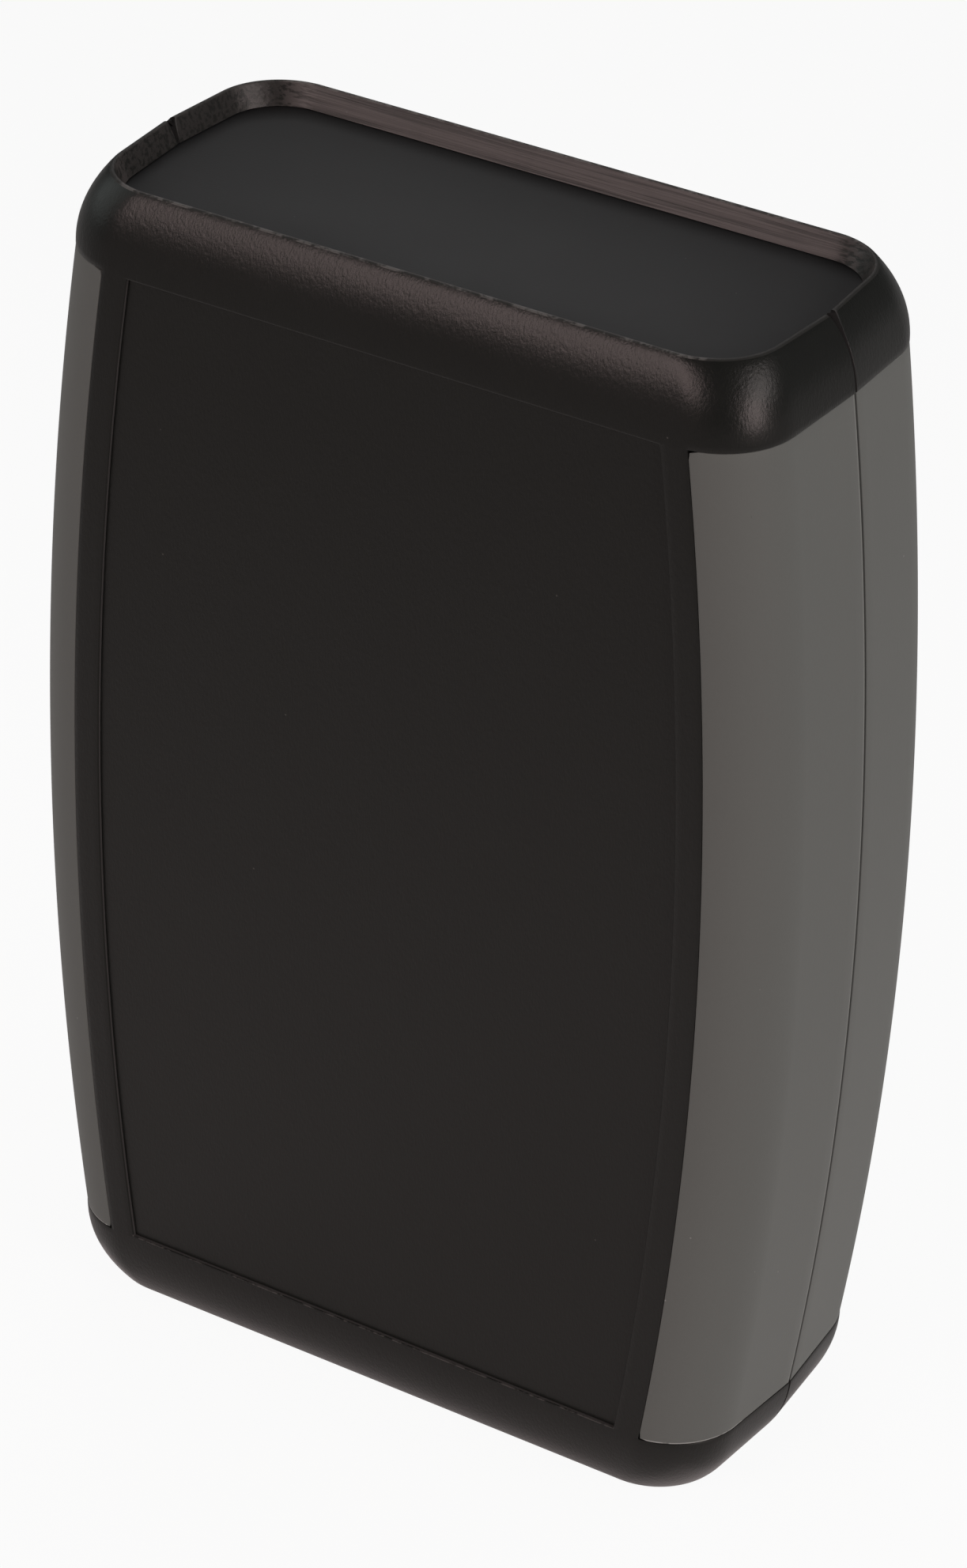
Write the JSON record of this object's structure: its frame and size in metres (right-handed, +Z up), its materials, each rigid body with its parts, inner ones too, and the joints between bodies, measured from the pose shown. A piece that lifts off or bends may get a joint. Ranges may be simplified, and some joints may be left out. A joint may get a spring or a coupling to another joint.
{
  "type": "injection moulded plastic housing",
  "caption": "Hand-held instrument case in moulded plastic halves, with bowed sides, soft side grips, rolled end lips and flat end panels.",
  "frame": {"origin": "centre of the case's footprint, on the lower end rim that it stands on", "axes": "+Z up along the length, +X across the width, +Y from the front half to the rear half"},
  "size_m": [0.0804, 0.0324, 0.117],
  "materials": {
    "case_black": "satin, fine spark-eroded texture",
    "panel_black": "matte, fine texture",
    "grip_grey": "matte, finely textured",
    "screw_steel": "zinc plated"
  },
  "bodies": {
    "root": {"front_shell": "case_black", "rear_shell": "case_black", "top_end_panel": "panel_black", "bottom_end_panel": "panel_black", "front_grip_left": "grip_grey", "rear_grip_left": "grip_grey", "front_grip_right": "grip_grey", "rear_grip_right": "grip_grey", "case_screw_1": "screw_steel", "case_screw_2": "screw_steel", "case_screw_3": "screw_steel", "case_screw_4": "screw_steel"}
  },
  "joints": []
}
